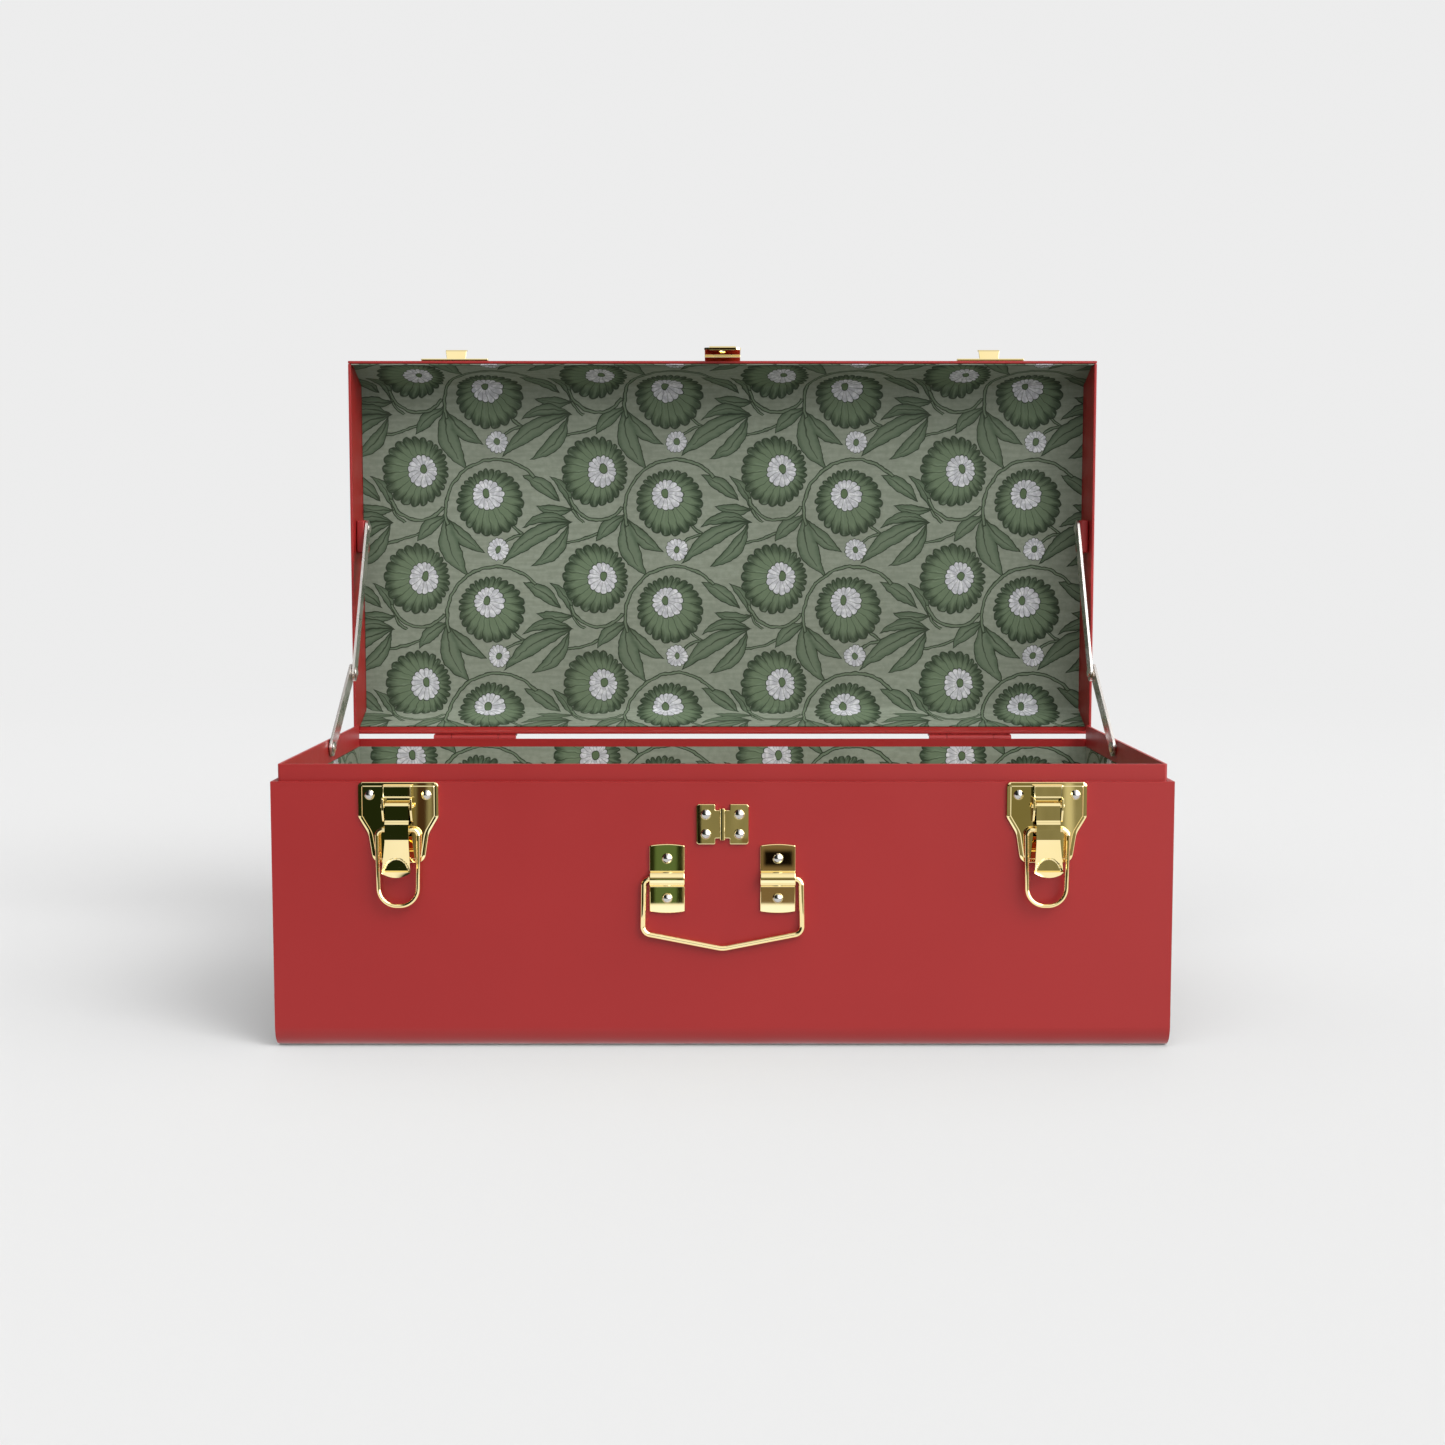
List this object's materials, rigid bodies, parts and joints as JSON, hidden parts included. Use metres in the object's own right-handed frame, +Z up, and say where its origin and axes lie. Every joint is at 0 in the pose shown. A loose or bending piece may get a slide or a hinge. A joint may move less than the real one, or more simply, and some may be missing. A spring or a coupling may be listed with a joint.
{
  "type": "sewing box with trays",
  "caption": "Red steel trunk-style sewing box, open, with a lined hinged lid on folding stays, draw latches, a hasp, a drop handle and lift-out trays.",
  "frame": {"origin": "centre of the base's underside, on the surface it stands on", "axes": "+X along the length to the right as seen from the front, -Y to the front, +Z up; the lid is at rest open at 90 degrees"},
  "size_m": [0.45, 0.277, 0.3705],
  "materials": {
    "red_paint": "satin red powder coat",
    "brass": "bright plated brass",
    "nickel_screws": "bright nickel",
    "stay_steel": "bright zinc-plated steel",
    "lining": "matt printed botanical lining, sage green",
    "tray_wood": "satin light wood"
  },
  "bodies": {
    "base": {"base_wrap": "red_paint", "base_end_left": "red_paint", "base_end_right": "red_paint", "base_collar": "red_paint", "base_lining": "lining", "hinge_base_leaf_left": "red_paint", "hinge_base_leaf_right": "red_paint", "hinge_pin_left": "red_paint", "hinge_pin_right": "red_paint", "latch_plate_left": "brass", "latch_plate_right": "brass", "latch_pin_left": "brass", "latch_pin_right": "brass", "latch_screw_left_outer": "nickel_screws", "latch_screw_left_inner": "nickel_screws", "latch_screw_right_outer": "nickel_screws", "latch_screw_right_inner": "nickel_screws", "staple_screw_left_lower": "nickel_screws", "staple_screw_left_upper": "nickel_screws", "staple_screw_right_lower": "nickel_screws", "staple_screw_right_upper": "nickel_screws", "handle_screw_left_lower": "nickel_screws", "handle_screw_left_upper": "nickel_screws", "handle_screw_right_lower": "nickel_screws", "handle_screw_right_upper": "nickel_screws", "hasp_staple_plate": "brass", "handle_bracket_left": "brass", "handle_bracket_right": "brass", "stay_base_rivet_left": "stay_steel", "stay_base_rivet_right": "stay_steel", "tray_ledge_front": "tray_wood", "tray_ledge_back": "tray_wood"},
    "lid": {"lid_wrap": "red_paint", "lid_end_left": "red_paint", "lid_end_right": "red_paint", "lid_lining": "lining", "hinge_lid_leaf_left": "red_paint", "hinge_lid_leaf_right": "red_paint", "lid_catch_left": "brass", "lid_catch_right": "brass", "hasp_leaf": "brass", "hasp_pin": "brass", "stay_lid_block_left": "red_paint", "stay_lid_block_right": "red_paint", "stay_lid_rivet_left": "stay_steel", "stay_lid_rivet_right": "stay_steel"},
    "hasp_flap": {"hasp_flap": "brass"},
    "stay_upper_left": {"stay_upper_link_left": "stay_steel", "stay_elbow_rivet_left": "stay_steel"},
    "stay_upper_right": {"stay_upper_link_right": "stay_steel", "stay_elbow_rivet_right": "stay_steel"},
    "stay_lower_left": {"stay_lower_link_left": "stay_steel"},
    "stay_lower_right": {"stay_lower_link_right": "stay_steel"},
    "latch_lever_left": {"latch_lever_left": "brass"},
    "latch_lever_right": {"latch_lever_right": "brass"},
    "latch_bail_left": {"latch_bail_left": "brass"},
    "latch_bail_right": {"latch_bail_right": "brass"},
    "drop_handle": {"drop_handle": "brass"},
    "tray_left": {"tray_left": "tray_wood"},
    "tray_right": {"tray_right": "tray_wood"}
  },
  "joints": [
    {"name": "lid_hinge", "type": "hinge", "parent": "base", "child": "lid", "pos_m": [0, 0.1151, 0.135], "axis": [1, 0, 0], "range_deg": [0, 90]},
    {"name": "hasp_hinge", "type": "hinge", "parent": "lid", "child": "hasp_flap", "pos_m": [0, 0.1283, 0.3661], "axis": [-1, 0, 0], "range_deg": [0, 120]},
    {"name": "stay_upper_left", "type": "hinge", "parent": "lid", "child": "stay_upper_left", "pos_m": [-0.217, 0.129, 0.2625], "axis": [1, 0, 0], "range_deg": [0, 35]},
    {"name": "stay_lower_left", "type": "hinge", "parent": "base", "child": "stay_lower_left", "pos_m": [-0.2189, 0.0165, 0.1393], "axis": [1, 0, 0], "range_deg": [-20, 0]},
    {"name": "stay_upper_right", "type": "hinge", "parent": "lid", "child": "stay_upper_right", "pos_m": [0.217, 0.129, 0.2625], "axis": [1, 0, 0], "range_deg": [0, 35]},
    {"name": "stay_lower_right", "type": "hinge", "parent": "base", "child": "stay_lower_right", "pos_m": [0.2189, 0.0165, 0.1393], "axis": [1, 0, 0], "range_deg": [-20, 0]},
    {"name": "latch_lever_left", "type": "hinge", "parent": "base", "child": "latch_lever_left", "pos_m": [-0.1612, -0.1172, 0.1234], "axis": [1, 0, 0], "range_deg": [-100, 0]},
    {"name": "latch_bail_left", "type": "hinge", "parent": "latch_lever_left", "child": "latch_bail_left", "pos_m": [-0.1612, -0.1172, 0.1115], "axis": [-1, 0, 0], "range_deg": [0, 180]},
    {"name": "latch_lever_right", "type": "hinge", "parent": "base", "child": "latch_lever_right", "pos_m": [0.1612, -0.1172, 0.1234], "axis": [1, 0, 0], "range_deg": [-100, 0]},
    {"name": "latch_bail_right", "type": "hinge", "parent": "latch_lever_right", "child": "latch_bail_right", "pos_m": [0.1612, -0.1172, 0.1115], "axis": [-1, 0, 0], "range_deg": [0, 180]},
    {"name": "handle_swing", "type": "hinge", "parent": "base", "child": "drop_handle", "pos_m": [0, -0.11445, 0.0864], "axis": [-1, 0, 0], "range_deg": [0, 120]},
    {"name": "tray_left_lift", "type": "slide", "parent": "base", "child": "tray_left", "axis": [0, 0, -1], "range_m": [-0.075, 0]},
    {"name": "tray_right_lift", "type": "slide", "parent": "base", "child": "tray_right", "axis": [0, 0, -1], "range_m": [-0.075, 0]}
  ],
  "couplings": [
    {"joint": "stay_upper_left", "follows": "lid_hinge", "ratio": 0.3835},
    {"joint": "stay_lower_left", "follows": "lid_hinge", "ratio": -0.218},
    {"joint": "stay_upper_right", "follows": "lid_hinge", "ratio": 0.3835},
    {"joint": "stay_lower_right", "follows": "lid_hinge", "ratio": -0.218}
  ]
}
